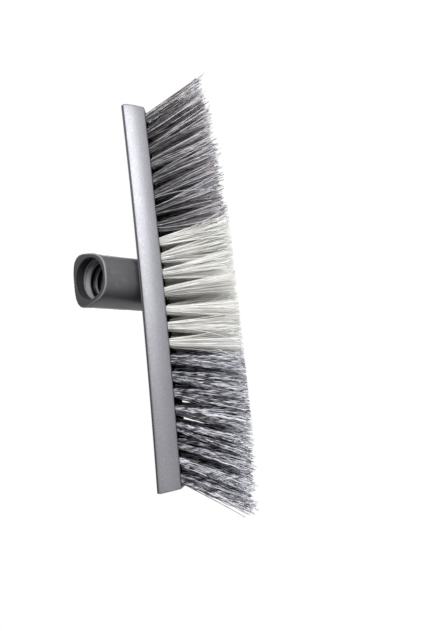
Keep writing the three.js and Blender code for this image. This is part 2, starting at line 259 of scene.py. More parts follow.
@dataclass(frozen=True)
class SilverPaint(Finish):
    """Silver paint on the band: fine metal flecks in a satin coat."""

    name: str = "silver_paint"
    slot: str = "silver_paint"
    tone: Colour = (0.171, 0.171, 0.185)
    pale_tone: Colour = (0.198, 0.198, 0.215)
    fleck_tone: Colour = (0.307, 0.307, 0.33)
    speck_tone: Colour = (0.10, 0.10, 0.12)
    cloud_size: float = 22.0
    cloud_gloss: float = 0.12
    fleck_size: float = 0.32
    fleck_share: float = 0.12
    fleck_cover: float = 0.4
    fleck_metal: float = 0.1
    fleck_gloss: float = 0.04
    speck_share: float = 0.012
    speck_cover: float = 0.6
    peel_size: float = 0.9
    peel_depth: float = 0.012
    metal: float = 0.85
    roughness: float = 0.45

    def surface(self, shader: Shader) -> Wire:
        """Paint with flecks, a few dark specks and a slight orange peel.

        Args:
            shader: The tree that the nodes go into.

        Returns:
            The painted surface.
        """
        cloud = shader.noise(self.cloud_size)
        cells = {"Vector": shader.place(), "Scale": 1 / (self.fleck_size * MM)}
        random = shader.node("TexVoronoi", inputs=cells)["Color"]
        cell = shader.node("SeparateColor", inputs={"Color": random})
        fleck = cell["Red"] > 1 - self.fleck_share
        speck = cell["Green"] > 1 - self.speck_share
        base = shader.mix(cloud, self.tone, self.pale_tone)
        base = shader.mix(fleck * self.fleck_cover, base, self.fleck_tone)
        base = shader.mix(speck * self.speck_cover, base, self.speck_tone)
        drift = self.cloud_gloss * (cloud - MIDDLE)
        return shader.principled(
            Base_Color=base,
            Metallic=self.metal + self.fleck_metal * fleck,
            Roughness=self.roughness + drift - self.fleck_gloss * fleck,
            Normal=shader.bump(shader.noise(self.peel_size, 1.0), self.peel_depth),
        )


@dataclass(frozen=True)
class MouldedPlastic(Finish):
    """Moulded plastic with a fine grain, faint flow marks and pale scuffs, plus painted highlights and
    painted shade where the mesh carries them.
    """

    tone: Colour
    worn_tone: Colour
    roughness: float
    grain: float
    grain_depth: float
    specular: float = 0.5
    painted_highlight_tone: Colour = (0.36, 0.36, 0.38)
    painted_shade_tone: Colour = (0.008, 0.008, 0.009)
    cloud_size: float = 14.0
    cloud_detail: float = 3.0
    cloud_wear: float = 0.25
    cloud_gloss: float = 0.16
    scuff_size: float = 2.4
    scuff_detail: float = 5.0
    scuff_stretch: Triple = (1.0, 0.35, 0.35)
    scuff_start: float = 0.63
    scuff_wear: float = 0.35
    scuff_gloss: float = 0.1

    def surface(self, shader: Shader) -> Wire:
        """Plastic whose tone drifts, with a painted highlight where the mesh's painted-light number is
        above nought and painted shade where it is below.

        Args:
            shader: The tree that the nodes go into.

        Returns:
            The moulded surface.
        """
        cloud = shader.noise(self.cloud_size, self.cloud_detail)
        scuff = shader.noise(self.scuff_size, self.scuff_detail, shader.stretched(self.scuff_stretch))
        tone_shift = (scuff > self.scuff_start) * self.scuff_wear + self.cloud_wear * cloud
        painted_light = shader.attribute("painted_light")
        base = shader.mix(tone_shift, self.tone, self.worn_tone)
        # Painted light from the mesh: a paler tone stands for highlights, a darker one for shade in
        # recesses and on faces turned from the lamp.
        base = shader.mix(painted_light * (painted_light > 0.0), base, self.painted_highlight_tone)
        base = shader.mix(-1.0 * painted_light * (painted_light < 0.0), base, self.painted_shade_tone)
        drift = self.cloud_gloss * (cloud - MIDDLE) + self.scuff_gloss * (scuff - MIDDLE)
        return shader.principled(
            Base_Color=base,
            Roughness=self.roughness + drift,
            Specular_IOR_Level=self.specular,
            Normal=shader.bump(shader.noise(self.grain), self.grain_depth),
        )


@dataclass(frozen=True)
class Filament(Finish):
    """Drawn plastic filament. Each strand has a shade of its own, and tone drifts along it."""

    stops: tuple[tuple[float, Colour], ...]
    contrast: float
    mottle: float
    patch: float = 1.3
    patch_stretch: float = 0.25
    patch_gloss: float = 0.2
    stain: Colour = PURE_WHITE
    stain_size: float = 6.0
    stain_gain: float = 4.0
    grain: float = 0.6
    grain_depth: float = 0.02
    roughness: float = 0.42

    def surface(self, shader: Shader) -> Wire:
        """Filament coloured by its shade, with long patches and stains.

        Args:
            shader: The tree that the nodes go into.

        Returns:
            The filament's surface.
        """
        shade = shader.attribute("shade")
        along = shader.stretched((1.0, 1.0, self.patch_stretch))
        # The drift is the strand's own patchy tone; where the mottle is strong, as on the crimped tufts,
        # it also paints the sheen of crimped segments catching the light.
        drift = shader.noise(self.patch, vector=along) - MIDDLE
        tone = MIDDLE + self.contrast * (shade - MIDDLE) + self.mottle * drift
        stained = self.stain_gain * (shader.noise(self.stain_size) - MIDDLE)
        base = shader.node("ValToRGB", {"stops": self.stops}, {"Fac": tone})["Color"]
        return shader.principled(
            Base_Color=shader.mix(stained, base, self.stain, "MULTIPLY"),
            Roughness=self.roughness + self.patch_gloss * drift,
            Normal=shader.bump(shader.noise(self.grain, 1.0), self.grain_depth),
        )


@dataclass(frozen=True)
class ZincSteel(Finish):
    """Zinc-plated screw steel with fine turning marks."""

    name: str = "screw_steel"
    slot: str = "screw_steel"
    tone: Colour = (0.48, 0.49, 0.51)
    dull_tone: Colour = (0.33, 0.34, 0.36)
    cloud_size: float = 1.6
    cloud_detail: float = 4.0
    cloud_gloss: float = 0.2
    mark_size: float = 0.25
    mark_stretch: Triple = (1.0, 0.12, 1.0)
    mark_gloss: float = 0.1
    mark_depth: float = 0.01
    roughness: float = 0.32

    def surface(self, shader: Shader) -> Wire:
        """Metal with a cloudy plating and fine scratches.

        Args:
            shader: The tree that the nodes go into.

        Returns:
            The plated surface.
        """
        cloud = shader.noise(self.cloud_size, self.cloud_detail)
        marks = shader.noise(self.mark_size, vector=shader.stretched(self.mark_stretch))
        drift = self.cloud_gloss * (cloud - MIDDLE) + self.mark_gloss * (marks - MIDDLE)
        return shader.principled(
            Base_Color=shader.mix(cloud, self.dull_tone, self.tone),
            Metallic=1.0,
            Roughness=self.roughness + drift,
            Normal=shader.bump(marks, self.mark_depth),
        )


SILVER = SilverPaint()
SOCKET_GREY = MouldedPlastic(
    "socket_grey",
    "socket_grey",
    tone=(0.094, 0.093, 0.1),
    worn_tone=(0.144, 0.143, 0.153),
    roughness=0.3,
    grain=0.35,
    grain_depth=0.008,
    specular=0.12,
)
PLATE_GREY = MouldedPlastic(
    "plate_grey",
    "plate_grey",
    tone=(0.035, 0.035, 0.038),
    worn_tone=(0.06, 0.06, 0.065),
    roughness=0.45,
    grain=0.5,
    grain_depth=0.02,
)
BLOCK_BLACK = MouldedPlastic(
    "block_black",
    "block_black",
    tone=(0.006, 0.006, 0.0065),
    worn_tone=(0.012, 0.012, 0.013),
    roughness=0.9,
    grain=0.6,
    grain_depth=0.02,
    specular=0.0,
)
STEEL = ZincSteel()
GREY_CRIMPED = Filament(
    "tuft_grey_crimped",
    "tuft_grey",
    (
        (0.0, (0.022, 0.022, 0.025)),
        (0.3, (0.143, 0.143, 0.16)),
        (0.55, (0.44, 0.44, 0.484)),
        (0.8, (0.726, 0.726, 0.787)),
        (1.0, (0.88, 0.88, 0.946)),
    ),
    contrast=0.85,
    # This strong mottle is partly the filaments' own mixed tone and partly painted sheen of crimped
    # segments catching the light.
    mottle=2.9,
    patch=1.5,
)
GREY_STRAIGHT = Filament(
    "tuft_grey_straight",
    "tuft_grey",
    (
        (0.0, (0.025, 0.025, 0.027)),
        (0.35, (0.103, 0.1, 0.106)),
        (0.6, (0.238, 0.232, 0.243)),
        (0.8, (0.432, 0.432, 0.464)),
        (1.0, (0.713, 0.713, 0.756)),
    ),
    contrast=1.0,
    mottle=0.9,
    stain=(0.82, 0.65, 0.57),
)
WHITE = Filament(
    "tuft_white",
    "tuft_white",
    (
        (0.0, (0.74, 0.73, 0.70)),
        (0.45, (0.90, 0.895, 0.87)),
        (1.0, (0.95, 0.95, 0.94)),
    ),
    contrast=0.9,
    mottle=0.5,
    stain=(0.95, 0.94, 0.905),
)


@dataclass(frozen=True)
class Head:
    """The head's frame, and the sizes that its pieces share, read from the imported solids."""

    origin: Vector
    length: float
    width: float
    plate_low: float
    plate_end_inset: float = 0.2
    plate_side_inset: float = 1.0
    plate_thickness: float = 0.6
    seat_gap: float = 0.3
    arch_rise: float = 1.1
    corner: float = 0.9
    side_steps: int = 48
    corner_steps: int = 6

    @classmethod
    def from_frame(cls) -> "Head":
        """Read the head's place and sizes from the back plate and the band.

        Returns:
            The head.
        """
        plate_low, plate_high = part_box("back_plate")
        band_low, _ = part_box("side_frame")
        middle = (plate_low + plate_high) / 2
        size = (plate_high - plate_low) / MM
        return cls(
            origin=Vector((middle.x, middle.y, band_low.z)),
            length=size.x + 2 * cls.plate_end_inset,
            width=size.y + 2 * cls.plate_side_inset,
            plate_low=(plate_low.z - band_low.z) / MM,
        )

    @property
    def band_height(self) -> float:
        """Height of the band at mid length, where the plate rests on it."""
        return self.plate_low - self.seat_gap

    @property
    def plate_high(self) -> float:
        """Height of the plate's face at mid length."""
        return self.plate_low + self.plate_thickness

    def lift(self, x: np.ndarray) -> np.ndarray:
        """How far the arch raises the head at places along it."""
        return self.arch_rise * (2 * x / self.length) ** 2

    def ring(self, half_length: float, half_width: float, z: float) -> np.ndarray:
        """Outline of a rounded rectangle that follows the arch.

        Args:
            half_length: Half its length, along X.
            half_width: Half its width, along Y.
            z: Its height at mid length.

        Returns:
            Points of the outline, counterclockwise from above.
        """
        x = half_length - self.corner
        y = half_width - self.corner
        along = np.linspace(-x, x, self.side_steps + 1)
        turn = np.linspace(0, math.pi / 2, self.corner_steps + 1)
        side = np.stack([along, np.full_like(along, -half_width)], 1)
        near = np.stack([x + self.corner * np.sin(turn), -y - self.corner * np.cos(turn)], 1)
        far = np.stack([x + self.corner * np.cos(turn), y + self.corner * np.sin(turn)], 1)
        half = np.concatenate([side, near[1:], far[:-1]])
        plan = np.concatenate([half, -half])
        return np.column_stack([plan, z + self.lift(plan[:, 0])])


@dataclass
class Body:
    """A mesh in the making: points in the head's frame, faces, and rims with a face between them."""

    points: list[np.ndarray] = field(default_factory=list)
    faces: list[list[int]] = field(default_factory=list)
    rims: list[list[list[int]]] = field(default_factory=list)
    count: int = 0

    def loft(self, tubes: np.ndarray, looped: bool = False, capped: bool = False) -> np.ndarray:
        """Join rings of points into tubes.

        Args:
            tubes: Points as tubes, rings, points of a ring, coordinates.
            looped: Whether each tube's last ring is joined to its first.
            capped: Whether each tube's end rings are closed by a face.

        Returns:
            Numbers of the points as tubes, rings, points of a ring.
        """
        index = np.arange(self.count, self.count + tubes[..., 0].size).reshape(tubes.shape[:-1])
        lower = index if looped else index[:, :-1]
        upper = np.roll(index, -1, 1) if looped else index[:, 1:]
        quads = [lower, np.roll(lower, -1, 2), np.roll(upper, -1, 2), upper]
        self.faces += np.stack(quads, -1).reshape(-1, 4).tolist()
        if capped:
            self.faces += index[:, 0, ::-1].tolist() + index[:, -1].tolist()
        self.points.append(tubes.reshape(-1, 3))
        self.count += index.size
        return index

    def wall(self, rings: Sequence[np.ndarray]) -> np.ndarray:
        """Join rings into one open tube, and give the numbers of its rings' points."""
        return self.loft(np.stack(rings)[None])[0]

    def fill(self, *rims: np.ndarray) -> None:
        """Close the face that lies between these rims."""
        self.rims.append([rim.tolist() for rim in rims])

    def piece(self, name: str, head: Head, sharp: float = 32.0) -> bpy.types.Object:
        """Turn the body into an object of the scene.

        Args:
            name: The piece's name.
            head: The head whose frame the points are in.
            sharp: Edges that turn by more degrees than this stay sharp.

        Returns:
            The new object.
        """
        mesh = bpy.data.meshes.new(name)
        points = np.concatenate(self.points) * MM + np.array(head.origin)
        mesh.from_pydata(points.tolist(), [], self.faces)
        work = bmesh.new()
        work.from_mesh(mesh)
        work.verts.ensure_lookup_table()
        for rims in self.rims:
            ends = [(rim[i - 1], rim[i]) for rim in rims for i in range(len(rim))]
            edges = [work.edges.get((work.verts[a], work.verts[b])) for a, b in ends]
            bmesh.ops.triangle_fill(work, use_beauty=True, use_dissolve=False, edges=edges)
        bmesh.ops.recalc_face_normals(work, faces=work.faces)
        work.to_mesh(mesh)
        work.free()
        mesh.shade_smooth()
        mesh.set_sharp_from_angle(angle=math.radians(sharp))
        made = bpy.data.objects.new(name, mesh)
        bpy.context.scene.collection.objects.link(made)
        return made


def dress(piece: bpy.types.Object, finish: Finish, *nodes: str) -> None:
    """Give a piece its finish and set it on the head.

    Args:
        piece: The new piece, in place.
        finish: What it is made of.
        nodes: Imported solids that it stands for.
    """
    piece.data.materials.append(finish.material())
    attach(piece, BODY)
    if nodes:
        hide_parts(*nodes)
    log.info("%s: %d faces of %s", piece.name, len(piece.data.polygons), finish.name)


def carry(piece: bpy.types.Object, name: str, values: np.ndarray) -> None:
    """Give a piece's points a number each, for its finish to read.

    Args:
        piece: The piece.
        name: The number's name.
        values: One for each point.
    """
    layer = piece.data.attributes.new(name, "FLOAT", "POINT")
    layer.data.foreach_set("value", values.astype(np.float32))


def bezier(start: np.ndarray, corner: np.ndarray, end: np.ndarray, steps: int) -> np.ndarray:
    """Rounded corner of a section, from start to end, drawn towards the corner.

    Args:
        start: Where the round begins.
        corner: The corner that it cuts.
        end: Where the round ends.
        steps: How many straight steps it takes.

    Returns:
        Points of the round, both ends included.
    """
    t = np.linspace(0, 1, steps + 1)[:, None]
    return (1 - t) ** 2 * start + 2 * t * (1 - t) * corner + t**2 * end


def sunflower(count: int, turned: float = 0.0) -> np.ndarray:
    """Spread points evenly over a disc of radius 1, along a spiral.

    Args:
        count: How many points.
        turned: Angle by which the spiral is turned.

    Returns:
        The points, from the middle outwards.
    """
    number = np.arange(count)
    out = np.sqrt((number + 0.5) / count)
    angle = number * GOLDEN_ANGLE + turned
    return np.stack([out * np.cos(angle), out * np.sin(angle)], 1)


@dataclass(frozen=True)
class SideBand:
    """The silver band: a wall that curves in towards the bristles, with a lip under the plate."""

    head: Head
    draw_in: float = 5.2
    draw_power: float = 1.7
    end_taper: float = 1.2
    side_wall: float = 6.8
    end_wall: float = 2.7
    lip_height: float = 2.0
    lip_reach: float = 1.6
    upper_round: float = 0.7
    lower_round: float = 0.4
    crown_steps: int = 14
    round_steps: int = 5

    def _drawn(self, z: float) -> float:
        """How far the side wall has drawn in at a height."""
        return self.draw_in * (1 - z / self.head.band_height) ** self.draw_power

    def _section(self) -> np.ndarray:
        """Draw the outer wall's section, from the underside to the top.

        Returns:
            Its points, as draw-in and height.
        """
        high = self.head.band_height
        heights = np.linspace(self.lower_round, high - self.upper_round, self.crown_steps + 1)
        wall = np.array([(self._drawn(z), z) for z in heights])
        lower = np.array([(self.draw_in + self.lower_round, 0), (self.draw_in, 0)])
        upper = np.array([(0, high), (self.upper_round, high)])
        return np.concatenate(
            [
                bezier(lower[0], lower[1], wall[0], self.round_steps)[:-1],
                wall,
                bezier(wall[-1], upper[0], upper[1], self.round_steps)[1:],
            ]
        )

    def _inner_ring(self, inset: float, z: float) -> np.ndarray:
        """Ring of the inner wall, drawn in by an inset."""
        half_length = self.head.length / 2 - self.end_wall - inset
        return self.head.ring(half_length, self.head.width / 2 - self.side_wall - inset, z)

    def build(self) -> None:
        """Make the band and paint it."""
        high = self.head.band_height
        rings = []
        for inset, z in self._section():
            end_inset = max(inset - self._drawn(z), 0) + self.end_taper * (1 - z / high)
            half_length = self.head.length / 2 - end_inset
            rings.append(self.head.ring(half_length, self.head.width / 2 - inset, z))
        rings.append(self._inner_ring(self.lip_reach, high))
        rings.append(self._inner_ring(self.lip_reach, high - self.lip_height))
        rings.append(self._inner_ring(0, high - self.lip_height))
        rings.append(self._inner_ring(0, 0))
        body = Body()
        body.loft(np.stack(rings)[None], looped=True)
        dress(body.piece("silver_band", self.head), SILVER, "side_frame")


@dataclass(frozen=True)
class HandleSocket:
    """The leaning socket: a rounded-square tube with a smooth lead-in, a coarse thread and a foot."""

    head: Head
    x: float = 9.5
    lean: float = math.radians(51)
    reach: float = 41.9
    half_x: float = 14.1
    half_y: float = 13.7
    squareness: float = 3.0
    flare: float = 0.19
    chamfer: float = 0.9
    lead_radius: float = 11.4
    lead_edge: float = 0.3
    lead_depth: float = 5.5
    bore_radius: float = 10.9
    bore_depth: float = 26.0
    crest_radius: float = 9.6
    pitch: float = 5.0
    crest: float = 0.7
    crest_base: float = 3.6
    turns: float = 3.45
    # Painted light: pale thread crests and mouth edge stand for highlights; the darker mouth face,
    # lead-in and thread roots stand for shade.
    painted_highlight_depth: float = 2.6
    painted_highlight: float = 0.7
    painted_edge_highlight: float = 0.65
    painted_face_shade: float = 0.25
    painted_lead_shadow: float = 0.75
    painted_root_shade: float = 4.0
    run_out: float = 0.12
    foot_length: float = 46.0
    foot_width: float = 40.2
    foot_thickness: float = 2.4
    foot_edge: float = 0.4
    foot_corner: float = 3.0
    foot_steps: int = 2
    points: int = 120
    wall_steps: int = 12
    edge_steps: int = 6
    bore_step: float = 0.25

    def section(self, inset: float) -> np.ndarray:
        """The tube's outline across its axis, wider on the far side.

        Args:
            inset: How far it is drawn in.

        Returns:
            Points of the outline in the socket's own plane.
        """
        angle = np.linspace(0, math.tau, self.points, endpoint=False)
        power = 2 / self.squareness
        along = np.sign(np.cos(angle)) * np.abs(np.cos(angle)) ** power
        across = np.sign(np.sin(angle)) * np.abs(np.sin(angle)) ** power
        half_x = self.half_x * (1 + self.flare * across) - inset
        return np.stack([half_x * along, (self.half_y - inset) * across], 1)

    def stand(self, plan: np.ndarray, height: np.ndarray | float) -> np.ndarray:
        """Set points of the socket's own plane into the head's frame.

        Args:
            plan: Points in the plane across the axis.
            height: Their heights on the axis.

        Returns:
            The points in the head's frame.
        """
        up = np.broadcast_to(height, plan[:, 0].shape)
        y = plan[:, 1] * math.cos(self.lean) - up * math.sin(self.lean)
        z = self.head.plate_high + plan[:, 1] * math.sin(self.lean) + up * math.cos(self.lean)
        return np.stack([self.x + plan[:, 0], y, z], 1)

    def cut(self, plan: np.ndarray, z: float) -> np.ndarray:
        """Heights on the axis at which points of the socket's plane reach a height of the head."""
        drop = z - self.head.plate_high - plan[:, 1] * math.sin(self.lean)
        return drop / math.cos(self.lean)

    def _ridge(self, angle: np.ndarray, height: float) -> np.ndarray:
        """How far the thread stands out of the bore's wall.

        Args:
            angle: Angles round the axis.
            height: Height on the axis.

        Returns:
            Its rise at each angle, from 0 on the wall to 1 on the crest.
        """
        start = self.reach - self.lead_depth - self.crest_base / 2 - self.turns * self.pitch
        turn = (height - start) / self.pitch - angle / math.tau
        nearest = np.round(turn)
        away = np.abs(turn - nearest) * self.pitch
        slope = (self.crest_base - self.crest) / 2
        ramp = np.clip((self.crest_base / 2 - away) / slope, 0, 1)
        ridge = ramp**2 * (3 - 2 * ramp)
        wound = nearest + angle / math.tau
        ends = np.clip(np.minimum(wound, self.turns - wound) / self.run_out, 0, 1)
        return ridge * ends

    def _tube(self) -> tuple[np.ndarray, np.ndarray]:
        """Make the rings of the tube, from the foot over the mouth to the bottom of the bore.

        Returns:
            Points as rings, points of a ring, coordinates; and each point's painted light, above 0 where
            a highlight is painted and below 0 where shade is painted.
        """
        outline = self.section(0)
        foot = self.cut(outline, self.head.band_height)
        shoulder = self.reach - self.chamfer
        shares = np.linspace(0, 1, self.wall_steps + 1)
        rings = [(self.stand(outline, foot + (shoulder - foot) * share), 0.0) for share in shares]
        for turn in np.linspace(0, math.pi / 2, self.edge_steps + 1)[1:-1]:
            edge = self.section(self.chamfer * (1 - math.cos(turn)))
            # Painted highlight along the rounded edge of the mouth.
            painted_highlight = self.painted_edge_highlight * math.sin(2 * turn)
            rings.append((self.stand(edge, shoulder + self.chamfer * math.sin(turn)), painted_highlight))
        angle = np.arctan2(outline[:, 1], outline[:, 0]) % math.tau
        circle = np.stack([np.cos(angle), np.sin(angle)], 1)
        lead = self.lead_radius * circle
        lead_end = self.reach - self.lead_depth
        rings += [
            # The mouth's face and the lead-in wall get painted shade.
            (self.stand(self.section(self.chamfer), self.reach), -self.painted_face_shade),
            (self.stand((self.lead_radius + self.lead_edge) * circle, self.reach), -self.painted_face_shade),
            (self.stand(lead, self.reach - self.lead_edge), -self.painted_lead_shadow),
            (self.stand(lead, lead_end + self.lead_edge), -self.painted_lead_shadow),
        ]
        for height in np.arange(lead_end, self.reach - self.bore_depth, -self.bore_step):
            ridge = self._ridge(angle, height)
            radius = self.bore_radius - (self.bore_radius - self.crest_radius) * ridge
            # Painted highlight on the crests near the mouth; painted shade in the thread's roots and
            # deeper in the bore.
            least = self.painted_highlight if lead_end - height < self.painted_highlight_depth else -1.0
            tone_shift = np.maximum(1 - self.painted_root_shade * (1 - ridge), least)
            rings.append((self.stand(radius[:, None] * circle, height), tone_shift))
        painted_light = [np.broadcast_to(tone_shift, angle.shape) for _, tone_shift in rings]
        return np.stack([ring for ring, _ in rings]), np.concatenate(painted_light)

    def build(self) -> None:
        """Make the socket with its foot, and dress it."""
        body = Body()
        tube, painted_light = self._tube()
        body.loft(tube[None], capped=True)
        foot = replace(self.head, arch_rise=0.0, corner=self.foot_corner, side_steps=self.foot_steps)
        top = self.head.band_height
        levels = [
            (self.foot_edge, top - self.foot_thickness),
            (0, top - self.foot_thickness + self.foot_edge),
            (0, top),
        ]
        rings = [
            foot.ring(self.foot_length / 2 - inset, self.foot_width / 2 - inset, z)
            for inset, z in levels
        ]
        body.loft(np.stack(rings)[None] + np.array([self.x, 0, 0]), capped=True)
        piece = body.piece("threaded_socket", self.head)
        carry(piece, "painted_light", np.concatenate([painted_light, np.zeros(body.count - len(painted_light))]))
        dress(piece, SOCKET_GREY, "handle_socket")


@dataclass(frozen=True)
class PlateScrews:
    """Countersunk screws with a cross recess, one in the place of each packed screw."""

    head: Head
    count: int = 6
    head_radius: float = 3.7
    head_height: float = 2.0
    rim: float = 0.1
    shank_radius: float = 1.75
    length: float = 9.0
    point: float = 1.6
    slot_half: float = 2.0
    slot_width: float = 0.9
    slot_depth: float = 1.1
    slot_taper: float = 0.35
    sides: int = 48
    turn: float = math.radians(34)

    def places(self) -> list[Vector]:
        """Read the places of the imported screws.

        Returns:
            The middle of each screw's face, in the head's frame.
        """
        middles = []
        for i in range(1, self.count + 1):
            low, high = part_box(f"plate_screw_{i}")
            middle = Vector(((low.x + high.x) / 2, (low.y + high.y) / 2, high.z))
            middles.append((middle - self.head.origin) / MM)
        return middles

    def circle(self, radius: float, z: float) -> np.ndarray:
        """Ring round the screw's axis."""
        angle = np.linspace(0, math.tau, self.sides, endpoint=False)
        return np.stack([radius * np.cos(angle), radius * np.sin(angle), np.full_like(angle, z)], 1)

    def _cross(self, inset: float, z: float) -> np.ndarray:
        """Outline of the cross recess.

        Args:
            inset: How far it is drawn in.
            z: Its height.

        Returns:
            Points of the outline round the screw's axis.
        """
        long = self.slot_half - inset
        half = self.slot_width / 2 - inset / 2
        arm = np.array([(long, -half), (long, half), (half, half)])
        quarters = ((1, 0), (0, 1), (-1, 0), (0, -1))
        plan = np.concatenate([arm @ np.array([[c, s], [-s, c]]) for c, s in quarters])
        return np.column_stack([plan, np.full(len(plan), z)])

    def build(self) -> None:
        """Make each screw, turned a little from the one before, and dress it."""
        for i, place in enumerate(self.places()):
            spin = np.array(Matrix.Rotation(i * self.turn, 3, "Z"))
            seat = np.array(place)
            body = Body()
            profile = [
                (self.head_radius - self.rim, 0.0),
                (self.head_radius, -self.rim),
                (self.shank_radius, -self.head_height),
                (self.shank_radius, self.point - self.length),
                (self.rim, -self.length),
            ]
            outer = body.wall([self.circle(r, z) @ spin.T + seat for r, z in profile])
            levels = [(0.0, 0.0), (self.slot_taper, -self.slot_depth)]
            recess = body.wall([self._cross(inset, z) @ spin.T + seat for inset, z in levels])
            body.fill(outer[0], recess[0])
            body.fill(outer[-1])
            body.fill(recess[-1])
            dress(body.piece(f"zinc_screw_{i + 1}", self.head), STEEL, f"plate_screw_{i + 1}")


@dataclass(frozen=True)
class BackPlate:
    """The dark back plate: chamfered, with a slanted slot for the socket and countersunk holes."""

    head: Head
    socket: HandleSocket
    screws: PlateScrews
    chamfer: float = 0.2
    seat: float = 0.05

    def build(self) -> None:
        """Make the plate, drawn down on to the band, and dress it."""
        low = self.head.band_height + self.seat
        high = self.head.plate_high
        half_length = self.head.length / 2 - self.head.plate_end_inset
        half_width = self.head.width / 2 - self.head.plate_side_inset
        edge = self.chamfer
        levels = [(edge, high), (0, high - edge), (0, low + edge), (edge, low)]
        outer = [self.head.ring(half_length - inset, half_width - inset, z) for inset, z in levels]
        section = self.socket.section(-self.head.seat_gap)
        slot = [self.socket.stand(section, self.socket.cut(section, z)) for z in (high, low)]
        for ring in slot:
            ring[:, 2] += self.head.lift(ring[:, 0])
        body = Body()
        rims = [body.wall(outer), body.wall(slot)]
        radius = self.screws.head_radius + self.head.seat_gap
        slope = (self.screws.head_radius - self.screws.shank_radius) / self.screws.head_height
        hole = [(radius, high), (radius - slope * (high - low), low)]
        for place in self.screws.places():
            seat = np.array([place.x, place.y, self.head.lift(place.x)])
            rims.append(body.wall([self.screws.circle(r, z) + seat for r, z in hole]))
        body.fill(*[rim[0] for rim in rims])
        body.fill(*[rim[-1] for rim in rims])
        dress(body.piece("grey_back_plate", self.head), PLATE_GREY, "back_plate")


class Tufts(Enum):
    """The three groups of tufts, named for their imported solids."""

    CRIMPED = "bristles_grey_left"
    WHITE = "bristles_white"
    STRAIGHT = "bristles_grey_right"


@dataclass(frozen=True)
class TuftMake:
    """How the filaments of a group are made and how they lie."""

    group: Tufts
    finish: Filament
    first: int
    count: int
    pieces: int
    steps: int
    wave: float
    bend: float
    stray_share: float
    length: float


